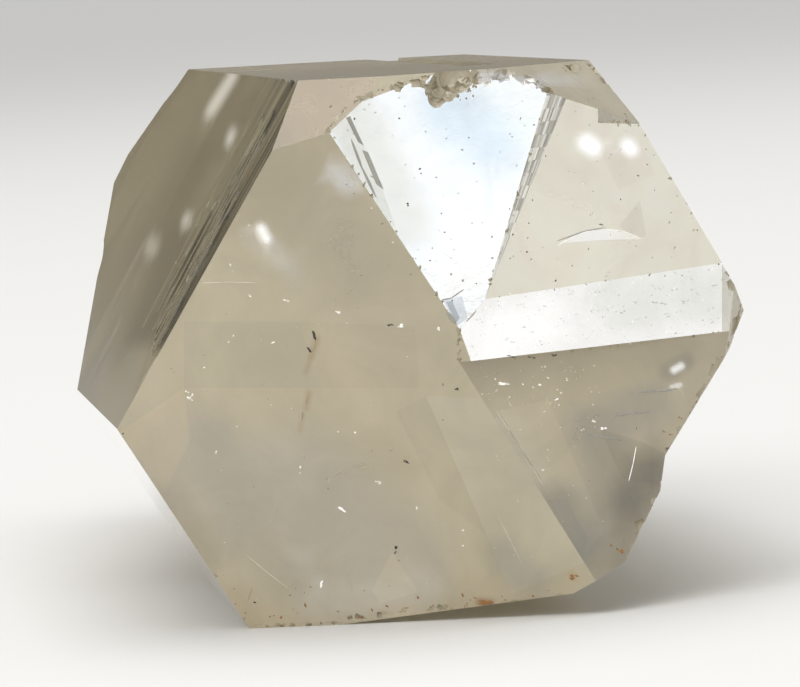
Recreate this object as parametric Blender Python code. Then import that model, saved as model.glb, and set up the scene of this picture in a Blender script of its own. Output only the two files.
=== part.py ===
# Phenakite crystal: a six-sided prism lying on one of its side faces, its low faceted end towards -Y.
# Lengths are in metres. The long axis runs along Y, the resting side face is on Z = 0.
# It is worked out about its own axis, then moved by FRAME_SHIFT so that the origin is below its middle.

import math

import bmesh
import bpy
from mathutils import Matrix, Vector, noise

MM = 0.001
FRAME_SHIFT = Vector((-0.717, -24.258, 0.07)) * MM

# Prism: azimuth of each side face about the long axis, and its distance from the axis
AXIS_HEIGHT = 8.70 * MM
PRISM_FACES = {
    "top": (90.0, 8.10 * MM),
    "upper_left": (150.0, 6.97 * MM),
    "lower_left": (210.0, 9.15 * MM),
    "base": (270.0, 8.77 * MM),
    "lower_right": (326.0, 8.93 * MM),
    "upper_right": (30.0, 9.28 * MM),
}
BACK_END = 50.6 * MM
BLOCK_SIZE = 140.0 * MM
CUT_TOLERANCE = 1e-8

# End faces: azimuth of the way each one slopes, its slope, and its height over the axis
END_FACES = {
    "broad": (236.32, 0.5374, 0.000 * MM),
    "lower": (4.67, 0.5735, 0.429 * MM),
    "mirror": (0.81, 0.4537, 0.833 * MM),
    "sliver": (357.08, 0.5392, 0.939 * MM),
    "cream": (354.20, 0.6065, 1.010 * MM),
    "band": (345.70, 0.6270, 0.903 * MM),
    "corner": (116.96, 1.9431, 15.965 * MM),
}
WHOLE_FACES = ("broad", "corner")
FACES_ABOVE_STEP = ("mirror", "sliver", "cream", "band")
FACE_BELOW_STEP = "lower"

# The step below the band runs between these two points of the band, given as X and Z
STEP_LEFT = (0.83 * MM, 8.09 * MM)
STEP_RIGHT = (10.11 * MM, 8.13 * MM)
STEP_OVERLAP = 0.80 * MM

# Flat broken bevels at the faceted end, each through three points in millimetres
FRONT_BREAKS = {
    "top_right_corner": ((4.56, 1.31, 15.81), (7.20, 2.85, 14.77), (6.41, 4.27, 16.15)),
    "top_left_chip": ((-2.25, -1.81, 15.96), (0.10, -0.74, 16.62), (-2.30, -1.25, 16.80)),
    "base_front_edge": ((-2.80, 4.72, -0.07), (4.20, 2.35, 0.62), (4.90, 9.60, -0.07)),
    "low_right_corner": ((5.65, 2.46, 1.34), (4.20, 2.35, 0.62), (4.90, 10.60, 0.20)),
    "tip_bevel": ((9.97, 5.25, 8.09), (10.27, 5.20, 9.84), (10.43, 6.10, 8.60)),
}

# Broken slopes of the far end, each through three points in millimetres
BACK_BREAKS = {
    "back_left": ((-5.90, 50.00, 12.40), (-9.20, 24.20, 6.70), (-4.20, 25.00, 0.00)),
    "back_top": ((-5.30, 51.00, 13.40), (-3.40, 43.00, 16.70), (6.10, 36.00, 16.70)),
    "back_right": ((0.50, 47.80, 9.50), (9.80, 36.50, 9.60), (4.80, 37.60, 2.40)),
    "back_under": ((-3.00, 38.00, 0.00), (6.00, 36.00, 0.00), (0.00, 47.60, 7.60)),
}

# Rounded breaks of the far end: slope it bites, X, Z, radius and depth of the bite in millimetres, roughness
BACK_SCALLOPS = {
    "back_scallop_a": ("back_left", -5.20, 7.40, 17.0, 0.60, 0.03),
    "back_scallop_b": ("back_left", -5.60, 3.40, 11.0, 0.55, 0.04),
    "back_scallop_c": ("back_top", -0.80, 15.40, 13.0, 0.70, 0.03),
    "back_scallop_d": ("back_top", 4.20, 13.20, 9.0, 0.60, 0.04),
    "back_scallop_e": ("back_right", 5.60, 8.60, 13.0, 0.80, 0.03),
    "back_scallop_f": ("back_right", 7.60, 12.40, 8.0, 0.60, 0.04),
    "back_scallop_g": ("back_under", -0.20, 4.40, 11.0, 0.70, 0.04),
    "back_scallop_h": ("back_under", 4.60, 3.20, 8.0, 0.50, 0.04),
}

# Small rounded breaks of the rim: centre of the bite, way out of it, radius and depth, roughness
RIM_SCALLOPS = {
    "top_pit": ((1.30, -0.14, 16.55), (0.0, -0.45, 0.90), 0.62, 0.40, 0.34),
    "top_pit_left": ((0.86, -0.30, 16.36), (-0.4, -0.70, 0.60), 0.40, 0.26, 0.36),
    "top_pit_tail": ((0.70, -0.46, 15.96), (-0.2, -1.0, 0.20), 0.34, 0.13, 0.34),
    "top_pit_low": ((1.16, -0.42, 16.12), (0.1, -1.0, 0.30), 0.42, 0.16, 0.36),
    "top_pit_right": ((1.86, 0.02, 16.58), (0.2, -0.60, 0.80), 0.44, 0.24, 0.34),
    "top_pit_end": ((2.20, 0.06, 16.64), (0.3, -0.60, 0.80), 0.30, 0.14, 0.32),
}
SCALLOP_DETAIL = 3
BACK_SCALLOP_DETAIL = 4
SMALLEST_SWELL = 0.6
ROUGHNESS_SCALE = 0.9

# Straight chips: start and end of an edge line, a third point of the broken plane,
# reach to both sides of the line
RIM_CHIPS = {
    "rim_chip": ((10.39, 5.48, 8.10), (7.49, 3.66, 4.53), (7.86, 7.60, 4.30), -4.5, 4.5),
    "under_chip": ((7.35, 2.17, 4.62), (7.92, 8.20, 4.27), (7.24, 3.46, 3.46), 0.0, 3.6),
}
RIM_CHIP_THICKNESS = 3.0 * MM

# Growth grooves across the upper left face, side by side behind its rim: way back from the rim,
# height of the low and the high end, depth
RIM_TOP = Vector((-3.37, 1.02, 16.78)) * MM
RIM_LOW = Vector((-9.31, 3.75, 6.50)) * MM
GROOVES = (
    (0.55, 8.9, 13.4, 0.09),
    (1.05, 8.7, 12.5, 0.10),
    (1.70, 8.8, 15.2, 0.09),
    (2.45, 9.0, 15.8, 0.10),
    (3.30, 9.2, 13.9, 0.08),
    (4.60, 9.1, 15.6, 0.10),
    (6.10, 9.6, 13.0, 0.08),
    (8.20, 9.0, 15.4, 0.11),
)
GROOVE_WIDTH = 0.42 * MM
GROOVE_CLEARANCE = 1.0 * MM

# Lengthwise growth steps shaved off the side faces: face, side offset, width, start, length, depth
LONG_STEPS = (
    ("top", -3.30, 1.10, 9.0, 46.0, 0.10),
    ("top", 3.90, 0.80, 16.0, 46.0, 0.08),
    ("upper_right", -2.60, 0.90, 13.0, 44.0, 0.10),
    ("upper_right", 3.10, 1.30, 15.0, 20.0, 0.12),
    ("lower_right", 0.80, 1.20, 12.0, 46.0, 0.11),
    ("lower_left", -1.80, 1.00, 27.0, 24.0, 0.06),
)
STEP_CLEARANCE = 1.0 * MM
STEP_SKEW = 0.004

COLOUR = (0.50, 0.44, 0.31, 1.0)
CLEAR_SHARE = 0.85
REFRACTION = 1.66
SURFACE_ROUGHNESS = 0.12

LONG_AXIS = Vector((0.0, 1.0, 0.0))
MIDDLE = Vector((0.0, 0.5 * BACK_END, AXIS_HEIGHT))


def clearScene():
    for thing in list(bpy.data.objects):
        bpy.data.objects.remove(thing)


def makeCollection(name):
    collection = bpy.data.collections.new(name)
    bpy.context.scene.collection.children.link(collection)
    return collection


def sideNormal(azimuth):
    angle = math.radians(azimuth)
    return Vector((math.cos(angle), 0.0, math.sin(angle)))


def prismPlane(face):
    azimuth, distance = PRISM_FACES[face]
    normal = sideNormal(azimuth)
    return Vector((0.0, 0.0, AXIS_HEIGHT)) + normal * distance, normal


def endPlane(face):
    azimuth, slope, height = END_FACES[face]
    normal = sideNormal(azimuth) * slope - LONG_AXIS
    return Vector((0.0, -height, AXIS_HEIGHT)), normal.normalized()


def breakPlane(points):
    first, second, third = (Vector(point) * MM for point in points)
    normal = (second - first).cross(third - first).normalized()
    if normal.dot(MIDDLE - first) > 0.0:
        normal.negate()
    return first, normal


def pointOnPlane(plane, x, z):
    point, normal = plane
    y = point.y - (normal.x * (x - point.x) + normal.z * (z - point.z)) / normal.y
    return Vector((x, y, z))


def cutOff(mesh, plane):
    geometry = mesh.verts[:] + mesh.edges[:] + mesh.faces[:]
    result = bmesh.ops.bisect_plane(
        mesh, geom=geometry, dist=CUT_TOLERANCE, plane_co=plane[0], plane_no=plane[1], clear_outer=True
    )
    rim = [item for item in result["geom_cut"] if isinstance(item, bmesh.types.BMEdge)]
    if rim:
        bmesh.ops.edgeloop_fill(mesh, edges=rim)


def makeBlock():
    mesh = bmesh.new()
    bmesh.ops.create_cube(mesh, size=BLOCK_SIZE)
    return mesh


def finishMesh(mesh, name, collection):
    bmesh.ops.translate(mesh, vec=FRAME_SHIFT, verts=mesh.verts)
    bmesh.ops.recalc_face_normals(mesh, faces=mesh.faces)
    data = bpy.data.meshes.new(name)
    mesh.to_mesh(data)
    mesh.free()
    thing = bpy.data.objects.new(name, data)
    collection.objects.link(thing)
    return thing


def markCutter(thing):
    thing.hide_render = True
    thing.display_type = "WIRE"
    return thing


def makePrism(collection):
    mesh = makeBlock()
    for face in PRISM_FACES:
        cutOff(mesh, prismPlane(face))
    cutOff(mesh, (LONG_AXIS * BACK_END, LONG_AXIS))
    for points in BACK_BREAKS.values():
        cutOff(mesh, breakPlane(points))
    for points in FRONT_BREAKS.values():
        cutOff(mesh, breakPlane(points))
    for face in WHOLE_FACES:
        cutOff(mesh, endPlane(face))
    return finishMesh(mesh, "phenakite_crystal", collection)


def stepPlane(drop):
    left = pointOnPlane(endPlane("band"), *STEP_LEFT)
    right = pointOnPlane(endPlane("band"), *STEP_RIGHT)
    left.z -= drop
    normal = (right - left).cross(LONG_AXIS).normalized()
    if normal.z < 0.0:
        normal.negate()
    return left, normal


def makeFaceCutter(face, limit, collection):
    mesh = makeBlock()
    point, normal = endPlane(face)
    cutOff(mesh, (point, -normal))
    cutOff(mesh, limit)
    return markCutter(finishMesh(mesh, face + "_face", collection))


def makeFaceCutters(collection):
    wall, up = stepPlane(0.0)
    makeFaceCutter(FACE_BELOW_STEP, (wall, up), collection)
    wall, up = stepPlane(STEP_OVERLAP)
    for face in FACES_ABOVE_STEP:
        makeFaceCutter(face, (wall, -up), collection)


def makeBox(name, centre, along, outward, size, collection):
    lengthAxis = along.normalized()
    outAxis = (outward - lengthAxis * outward.dot(lengthAxis)).normalized()
    sideAxis = outAxis.cross(lengthAxis)
    turn = Matrix((lengthAxis, sideAxis, outAxis)).transposed().to_4x4()
    mesh = bmesh.new()
    bmesh.ops.create_cube(mesh, size=1.0)
    bmesh.ops.scale(mesh, vec=Vector(size), verts=mesh.verts)
    bmesh.ops.transform(mesh, matrix=Matrix.Translation(centre) @ turn, verts=mesh.verts)
    return markCutter(finishMesh(mesh, name, collection))


def makeScallop(name, point, outward, radius, bite, roughness, detail, collection):
    centre = point + outward.normalized() * (radius - bite) * MM
    scale = ROUGHNESS_SCALE / (MM * max(radius, SMALLEST_SWELL))
    mesh = bmesh.new()
    bmesh.ops.create_icosphere(mesh, subdivisions=detail, radius=radius * MM)
    for vert in mesh.verts:
        vert.co *= 1.0 + roughness * noise.noise((vert.co + centre) * scale)
    bmesh.ops.translate(mesh, vec=centre, verts=mesh.verts)
    return markCutter(finishMesh(mesh, name, collection))


def makeScallops(collection):
    for name, (point, outward, radius, bite, roughness) in RIM_SCALLOPS.items():
        place = Vector(point) * MM
        makeScallop(name, place, Vector(outward), radius, bite, roughness, SCALLOP_DETAIL, collection)
    for name, (slope, x, z, radius, bite, roughness) in BACK_SCALLOPS.items():
        plane = breakPlane(BACK_BREAKS[slope])
        place = pointOnPlane(plane, x * MM, z * MM)
        makeScallop(name, place, plane[1], radius, bite, roughness, BACK_SCALLOP_DETAIL, collection)


def makeRimChips(collection):
    for name, (start, end, third, near, far) in RIM_CHIPS.items():
        first, normal = breakPlane((start, end, third))
        along = Vector(end) * MM - first
        across = (Vector(third) * MM - first).normalized()
        across = (across - along.normalized() * across.dot(along.normalized())).normalized()
        centre = first + along * 0.5 + across * 0.5 * (near + far) * MM + normal * RIM_CHIP_THICKNESS * 0.5
        size = (along.length, (far - near) * MM, RIM_CHIP_THICKNESS)
        makeBox(name, centre, along, normal, size, collection)


def behindRim(height, back):
    share = (height * MM - RIM_LOW.z) / (RIM_TOP.z - RIM_LOW.z)
    return RIM_LOW.lerp(RIM_TOP, share) + LONG_AXIS * back * MM


def makeGrooves(collection):
    normal = prismPlane("upper_left")[1]
    for index, (back, lowHeight, highHeight, depth) in enumerate(GROOVES):
        low = behindRim(lowHeight, back)
        high = behindRim(highHeight, back)
        along = high - low
        across = normal.cross(along).normalized()
        outward = (normal + across * depth * MM / GROOVE_WIDTH).normalized()
        centre = (low + high) * 0.5 + outward * GROOVE_CLEARANCE * 0.5
        size = (along.length, GROOVE_WIDTH * 2.0, GROOVE_CLEARANCE)
        makeBox("groove_%d" % index, centre, along, outward, size, collection)


def makeLongSteps(collection):
    for index, (face, offset, width, start, length, depth) in enumerate(LONG_STEPS):
        point, normal = prismPlane(face)
        side = normal.cross(LONG_AXIS)
        centre = point + side * offset * MM + normal * (0.5 * STEP_CLEARANCE - depth * MM)
        centre.y = (start + 0.5 * length) * MM
        along = LONG_AXIS + side * STEP_SKEW * (index % 3 - 1)
        size = (length * MM, width * MM, STEP_CLEARANCE)
        makeBox("long_step_%d" % index, centre, along, normal, size, collection)


def makeMaterial():
    material = bpy.data.materials.new("clear_crystal")
    material.use_nodes = True
    shader = material.node_tree.nodes["Principled BSDF"]
    shader.inputs["Base Color"].default_value = COLOUR
    shader.inputs["Roughness"].default_value = SURFACE_ROUGHNESS
    shader.inputs["Metallic"].default_value = 0.0
    shader.inputs["IOR"].default_value = REFRACTION
    shader.inputs["Transmission Weight"].default_value = CLEAR_SHARE
    return material


def addCut(thing, cutter):
    modifier = thing.modifiers.new("cut_" + cutter.name, "BOOLEAN")
    modifier.operation = "DIFFERENCE"
    modifier.solver = "EXACT"
    modifier.object = cutter


def buildCrystal():
    clearScene()
    parts = makeCollection("phenakite")
    cutters = makeCollection("face_and_chip_cutters")
    crystal = makePrism(parts)
    makeFaceCutters(cutters)
    makeScallops(cutters)
    makeRimChips(cutters)
    makeGrooves(cutters)
    makeLongSteps(cutters)
    for cutter in cutters.objects:
        addCut(crystal, cutter)
    crystal.data.materials.append(makeMaterial())
    return crystal


buildCrystal()
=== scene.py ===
import math
from collections import namedtuple

import bmesh
import bpy
from mathutils import Matrix, Vector, noise
from mathutils.bvhtree import BVHTree


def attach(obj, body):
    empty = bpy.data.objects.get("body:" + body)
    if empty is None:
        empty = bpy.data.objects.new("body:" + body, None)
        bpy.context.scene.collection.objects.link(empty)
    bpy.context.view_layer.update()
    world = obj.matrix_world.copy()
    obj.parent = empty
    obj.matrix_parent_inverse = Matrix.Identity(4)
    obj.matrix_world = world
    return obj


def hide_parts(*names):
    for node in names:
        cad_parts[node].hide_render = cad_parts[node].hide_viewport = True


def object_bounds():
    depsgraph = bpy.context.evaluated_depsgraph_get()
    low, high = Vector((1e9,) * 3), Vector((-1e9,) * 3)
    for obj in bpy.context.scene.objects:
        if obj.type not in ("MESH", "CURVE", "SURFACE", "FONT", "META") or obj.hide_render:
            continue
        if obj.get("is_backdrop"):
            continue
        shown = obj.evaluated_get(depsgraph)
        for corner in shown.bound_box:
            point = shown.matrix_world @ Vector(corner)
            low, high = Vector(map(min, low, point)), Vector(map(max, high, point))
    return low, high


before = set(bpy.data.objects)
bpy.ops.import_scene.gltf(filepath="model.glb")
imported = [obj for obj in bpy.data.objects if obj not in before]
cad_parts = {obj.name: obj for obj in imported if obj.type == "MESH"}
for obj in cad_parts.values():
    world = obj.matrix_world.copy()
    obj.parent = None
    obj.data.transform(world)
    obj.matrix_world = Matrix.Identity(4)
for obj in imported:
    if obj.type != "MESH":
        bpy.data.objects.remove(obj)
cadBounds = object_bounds()
mm = 0.001

# camera: the photograph's own viewing point, in millimetres of the crystal's frame
photoCamera = {
    "place": (-21.6312, -202.7016, 19.7831),
    "right": (0.99148, -0.114943, -0.061286),
    "up": (0.067788, 0.053543, 0.996262),
    "back": (-0.111232, -0.991928, 0.060878),
    "focalPixels": 6000.0,
    "frameWidth": 800.0,
    "frameHeight": 687.0,
    "sensorWidth": 36.0,
    "clip": (0.005, 20.0),  # metres
}


def makeCamera():
    data = bpy.data.cameras.new("photoCamera")
    data.sensor_width = photoCamera["sensorWidth"]
    data.lens = photoCamera["focalPixels"] * photoCamera["sensorWidth"] / photoCamera["frameWidth"]
    data.clip_start, data.clip_end = photoCamera["clip"]
    camera = bpy.data.objects.new("photoCamera", data)
    bpy.context.scene.collection.objects.link(camera)
    axes = [Vector(photoCamera[key]).normalized() for key in ("right", "up", "back")]
    turn = Matrix(axes).transposed().to_4x4()
    camera.matrix_world = Matrix.Translation(Vector(photoCamera["place"]) * mm) @ turn
    bpy.context.scene.camera = camera
    print("camera ready")


def pixelRay(x, y):
    across = (x - photoCamera["frameWidth"] / 2) / photoCamera["focalPixels"]
    above = (photoCamera["frameHeight"] / 2 - y) / photoCamera["focalPixels"]
    ray = Vector(photoCamera["right"]) * across + Vector(photoCamera["up"]) * above - Vector(photoCamera["back"])
    return Vector(photoCamera["place"]) * mm, ray.normalized()


# shader maths: one socket wrapper and one node maker
class Wire:
    def __init__(self, kit, socket):
        self.kit = kit
        self.socket = socket

    def maths(self, operation, *values):
        return self.kit.node("ShaderNodeMath", {"operation": operation}, dict(enumerate(values)))

    def __add__(self, other):
        return self.maths("ADD", self, other)

    def __radd__(self, other):
        return self.maths("ADD", other, self)

    def __sub__(self, other):
        return self.maths("SUBTRACT", self, other)

    def __rsub__(self, other):
        return self.maths("SUBTRACT", other, self)

    def __mul__(self, other):
        return self.maths("MULTIPLY", self, other)

    def __rmul__(self, other):
        return self.maths("MULTIPLY", other, self)

    def between(self, low, high):
        settings = {"interpolation_type": "SMOOTHSTEP"}
        values = {"Value": self, "From Min": low, "From Max": high}
        return self.kit.node("ShaderNodeMapRange", settings, values)


class Kit:
    def __init__(self, owner, shaderName="Principled BSDF"):
        owner.use_nodes = True
        self.owner = owner
        self.tree = owner.node_tree
        self.shader = self.tree.nodes[shaderName]

    def node(self, kind, settings=None, values=None, output=0):
        made = self.tree.nodes.new(kind)
        for key, value in (settings or {}).items():
            if key == "stops":
                self.setStops(made.color_ramp, value)
            else:
                setattr(made, key, value)
        for key, value in (values or {}).items():
            self.feed(made.inputs[key], value)
        return Wire(self, made.outputs[output])

    def feed(self, socket, value):
        if isinstance(value, Wire):
            self.tree.links.new(value.socket, socket)
        elif isinstance(value, (tuple, list)) and socket.type == "RGBA" and len(value) == 3:
            socket.default_value = (*value, 1.0)
        else:
            socket.default_value = value

    def setStops(self, ramp, stops):
        while len(ramp.elements) < len(stops):
            ramp.elements.new(1.0)
        for element, (place, colour) in zip(ramp.elements, stops):
            element.position = place
            element.color = (*colour, 1.0)

    def mixColour(self, share, first, second, blend="MIX"):
        settings = {"data_type": "RGBA", "blend_type": blend}
        return self.node("ShaderNodeMix", settings, {0: share, 6: first, 7: second}, 2)

    def noise(self, place, scale, detail=3.0, roughness=0.55, distortion=0.0):
        values = {"Vector": place, "Scale": scale, "Detail": detail}
        values.update({"Roughness": roughness, "Distortion": distortion})
        return self.node("ShaderNodeTexNoise", {}, values)

    def grey(self, value):
        return self.node("ShaderNodeCombineColor", {}, {0: value, 1: value, 2: value})

    def attribute(self, name):
        return self.node("ShaderNodeAttribute", {"attribute_name": name})

    def objectPlace(self):
        return self.node("ShaderNodeTexCoord", output=3)

    def parts(self, kind, value):
        split = self.node(kind, {}, {0: value})
        return [Wire(self, socket) for socket in split.socket.node.outputs]

    def set(self, **values):
        for key, value in values.items():
            self.feed(self.shader.inputs[key.replace("_", " ")], value)


# the crystal: faces, their finishes and their colours
axisPlace = Vector((-0.717, 0.0, 8.77))  # millimetres, on the long axis of the prism
rimFaceDistance = 6.97  # of the grooved face from the axis
grooveReach = {"depth": 0.5, "front": -24.0, "back": 20.0}  # where a small face counts as one of a groove

# The near-white tints of the mirror, sliver, cream and band faces are painted reflection of the light these faces
# catch; the dark olive tints of the top, upperLeft and groove faces are painted shade; the other tints are the
# crystal's own beige.
crystalFaces = {  # azimuth and slope of an end face or azimuth of a side face, its tint, and its finishes
    "broad": {"end": (236.32, 0.5374), "tint": (0.85, 0.76, 0.53), "hazy": 1.0},
    "lower": {"end": (4.67, 0.5735), "tint": (0.74, 0.66, 0.47), "hazy": 1.0},
    "mirror": {"end": (0.81, 0.4537), "tint": (0.93, 0.97, 1.00), "mirror": 0.72, "pits": 1.0},
    "sliver": {"end": (357.08, 0.5392), "tint": (0.92, 0.91, 0.85), "mirror": 0.8},
    "cream": {"end": (354.20, 0.6065), "tint": (1.00, 0.96, 0.84), "mirror": 0.74, "pits": 0.6},
    "band": {"end": (345.70, 0.6270), "tint": (1.00, 1.00, 1.00), "mirror": 1.35, "peel": 1.0},
    "corner": {"end": (116.96, 1.9431), "tint": (0.58, 0.47, 0.31), "hazy": 0.8},
    "top": {"side": 90.0, "tint": (0.44, 0.39, 0.27), "dull": 0.9},
    "upperLeft": {"side": 150.0, "tint": (0.37, 0.33, 0.21), "dull": 0.7},
    "lowerLeft": {"side": 210.0, "tint": (0.72, 0.65, 0.48)},
    "base": {"side": 270.0, "tint": (0.80, 0.72, 0.54)},
    "lowerRight": {"side": 326.0, "tint": (0.70, 0.62, 0.45), "dull": 0.6},
    "upperRight": {"side": 30.0, "tint": (0.76, 0.69, 0.52)},
    "groove": {"tint": (0.34, 0.30, 0.19), "dull": 1.0},
    "chip": {"tint": (0.76, 0.69, 0.52), "broken": 0.3, "dull": 1.0},
    "broken": {"tint": (0.70, 0.60, 0.42), "broken": 1.0, "dull": 1.0},
}
kindNames = list(crystalFaces)
maskSets = {  # colour attributes and the finishes that their three channels carry; the glow channel of the last set is painted highlight, not a finish
    "finishA": ("mirror", "hazy", "broken"),
    "finishB": ("pits", "peel", "dull"),
    "finishC": ("glow",),
}
sameEndFace = math.cos(math.radians(1.4))
sameSideFace = math.cos(math.radians(9.0))
mergeGap = 2e-6
flatAngle = math.radians(0.4)
cutGap = 1e-7

paintGrid = {  # cuts across the end faces that carry the soft tints, in millimetres
    "faces": ("broad", "lower", "mirror", "cream", "band", "corner"),
    "step": 0.55,
    "across": (-10.2, 10.2),
    "up": (0.0, 17.0),
}
sliverCuts = {  # cuts of the striated face: each end's place in the photograph and its move per step, and the steps
    "lengthwise": (((548, 92), (19 / 11, 0)), ((485, 299), (0.3, 0)), range(1, 11)),
    "crosswise": (((440, 70), (0, 11)), ((700, 10), (0, 15)), range(18)),
}
sliverTone = {"darkest": 0.45, "spread": 0.70, "leastMirror": 0.25, "mirrorSpread": 1.0}
fineWash = {"fade": 13, "cuts": 3.0}  # a wash that fades over so many pixels or fewer gets finer cuts
Wash = namedtuple("Wash", "faces line wide soft tint share mirror glow", defaults=(0.0, 0.0))
Pane = namedtuple("Pane", "face outline tone mirror", defaults=(1.0,))
ChipRun = namedtuple("ChipRun", "count size scatter line")
washes = [Wash(*row) for row in (  # faces, run in the photograph, half width, fade, tint, share, mirror, glow; a glow is painted highlight
    # The next five washes are painted shade: dark streaks of the grooved face seen edge-on, darkest near its rim.
    ("upperLeft", ((200, 150), (150, 250)), 4, 22, (0.24, 0.20, 0.12), 0.75),
    ("upperLeft", ((180, 235), (138, 335)), 3, 18, (0.17, 0.14, 0.08), 0.8),
    ("upperLeft", ((250, 100), (222, 150)), 3, 12, (0.26, 0.22, 0.13), 0.6),
    ("upperLeft", ((192, 280), (166, 336)), 6, 12, (0.06, 0.05, 0.03), 0.72),
    ("upperLeft", ((222, 228), (206, 258)), 3, 9, (0.06, 0.05, 0.03), 0.65),
    # The next five washes are painted highlights: glints on the grooved face, with glow.
    ("upperLeft", ((233, 76), (210, 112)), 0, 10, (1.05, 1.00, 0.86), 0.9, 0.0, 0.28),
    ("upperLeft", ((232, 132), (229, 142)), 0, 8, (1.00, 0.95, 0.81), 0.85, 0.0, 0.25),
    ("upperLeft", ((187, 218), (186, 224)), 1, 7, (1.00, 0.95, 0.81), 0.8, 0.0, 0.22),
    ("upperLeft", ((152, 243), (151, 251)), 2, 9, (0.90, 0.86, 0.72), 0.7, 0.0, 0.12),
    ("upperLeft", ((112, 322), (98, 350)), 1, 9, (1.00, 0.95, 0.81), 0.8, 0.0, 0.22),
    ("upperLeft", ((96, 372), (118, 425)), 4, 30, (0.60, 0.52, 0.34), 0.9),
    ("upperLeft", ((145, 365), (120, 420)), 6, 24, (0.62, 0.53, 0.35), 0.9),
    ("broad", ((262, 190), (300, 150)), 46, 40, (0.62, 0.54, 0.36), 0.6),
    ("broad", ((330, 230), (400, 330)), 20, 50, (0.70, 0.62, 0.46), 0.5),
    ("broad", ((338, 172), (350, 184)), 2, 17, (1.15, 1.18, 1.22), 0.9, 0.3),
    # The next two washes are a painted highlight: a glowing white flare on the broad face and its pale fan.
    ("broad", ((261, 229), (266, 239)), 0, 10, (1.00, 1.00, 1.00), 1.0, 0.9, 0.25),
    ("broad", ((262, 240), (290, 268)), 3, 16, (0.92, 0.88, 0.76), 0.6),
    ("broad", ((190, 470), (330, 560)), 34, 60, (0.66, 0.62, 0.52), 0.6),
    ("broad", ((300, 480), (400, 560)), 30, 50, (0.78, 0.73, 0.62), 0.6),
    ("broad", ((210, 440), (240, 520)), 8, 30, (0.58, 0.55, 0.46), 0.5),
    ("broad", ((303, 558), (305, 564)), 2, 18, (0.92, 0.92, 0.88), 0.4),
    ("broad", ((318, 582), (320, 594)), 1, 12, (0.95, 0.95, 0.92), 0.5),
    ("broad", ((235, 600), (250, 618)), 4, 16, (0.62, 0.50, 0.32), 0.5),
    ("broad", ((317, 338), (311, 358)), 0, 6, (0.60, 0.44, 0.22), 0.75),
    ("broad", ((309, 393), (306, 408)), 0, 6, (0.64, 0.48, 0.26), 0.7),
    ("broad", ((309, 364), (306, 372)), 0, 5, (0.64, 0.48, 0.26), 0.6),
    ("broad", ((303, 415), (300, 430)), 0, 5, (0.66, 0.52, 0.32), 0.6),
    ("broad chip lower", ((260, 622), (560, 592)), 2, 20, (0.84, 0.72, 0.50), 0.5),
    ("broad lower chip", ((480, 602), (490, 603)), 1, 6, (0.50, 0.26, 0.08), 0.8),
    ("broad lower chip", ((572, 574), (574, 578)), 1, 6, (0.66, 0.50, 0.24), 0.6),
    ("broad", ((318, 602), (425, 588)), 8, 24, (0.98, 0.93, 0.80), 0.7),
    ("broad", ((500, 556), (536, 586)), 5, 22, (0.58, 0.54, 0.42), 0.7),
    ("broad", ((170, 500), (205, 555)), 5, 24, (0.54, 0.48, 0.36), 0.75),
    ("lower", ((470, 378), (720, 345)), 6, 22, (0.56, 0.50, 0.36), 0.6),
    ("lower", ((590, 430), (650, 405)), 10, 24, (0.50, 0.48, 0.42), 0.6),
    ("lower", ((690, 400), (716, 356)), 10, 18, (0.74, 0.66, 0.50), 0.7),
    # The next three washes are a painted glint on the lower face: a dark ring and two glowing spots.
    ("lower", ((668, 372), (686, 362)), 3, 11, (0.40, 0.37, 0.29), 0.65),
    ("lower", ((674, 370), (681, 366)), 0, 7, (1.00, 1.00, 1.00), 1.0, 0.8, 0.22),
    ("lower", ((672, 387), (680, 385)), 0, 5, (1.00, 0.98, 0.92), 0.9, 0.6, 0.15),
    ("lower", ((614, 480), (612, 520)), 4, 16, (0.66, 0.53, 0.34), 0.5),
    ("lower", ((560, 500), (592, 548)), 6, 26, (0.36, 0.34, 0.26), 0.8),
    ("lower", ((505, 430), (525, 470)), 6, 26, (0.86, 0.80, 0.63), 0.6),
    # Painted shadow inside the crystal, on the left of the dark patch under the notch.
    ("lower", ((604, 452), (612, 520)), 8, 26, (0.46, 0.43, 0.33), 0.75),
    ("lower", ((630, 520), (622, 560)), 4, 20, (0.46, 0.39, 0.25), 0.7),
    # Painted shadow inside the crystal: the darkest part of the patch under the notch.
    ("lower", ((650, 470), (634, 500)), 6, 32, (0.15, 0.14, 0.10), 0.85),
    ("lower", ((584, 578), (606, 566)), 4, 14, (0.66, 0.53, 0.33), 0.6),
    # A painted highlight: white light caught by the broken chips along the top edge.
    ("chip broken", ((486, 78), (536, 86)), 4, 8, (1.00, 1.00, 1.00), 0.9, 0.6),
    ("mirror", ((450, 108), (492, 142)), 14, 34, (0.72, 0.84, 0.96), 0.85),
    ("mirror", ((356, 120), (402, 220)), 14, 26, (0.78, 0.79, 0.76), 0.85),
    # The next two washes are painted glints on the cream face, with glow.
    ("cream", ((587, 143), (593, 147)), 3, 13, (1.00, 1.00, 1.00), 1.0, 1.2, 0.3),
    ("cream", ((628, 146), (631, 149)), 2, 11, (1.00, 1.00, 1.00), 1.0, 1.2, 0.3),
    ("cream", ((540, 250), (600, 200)), 10, 40, (1.00, 0.95, 0.84), 0.5),
    # A painted highlight on the band face, with glow.
    ("band", ((470, 345), (540, 322)), 16, 24, (1.00, 1.00, 1.00), 0.9, 0.0, 0.12),
    ("band", ((620, 300), (715, 292)), 14, 30, (0.86, 0.87, 0.84), 0.8),
)]
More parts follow.
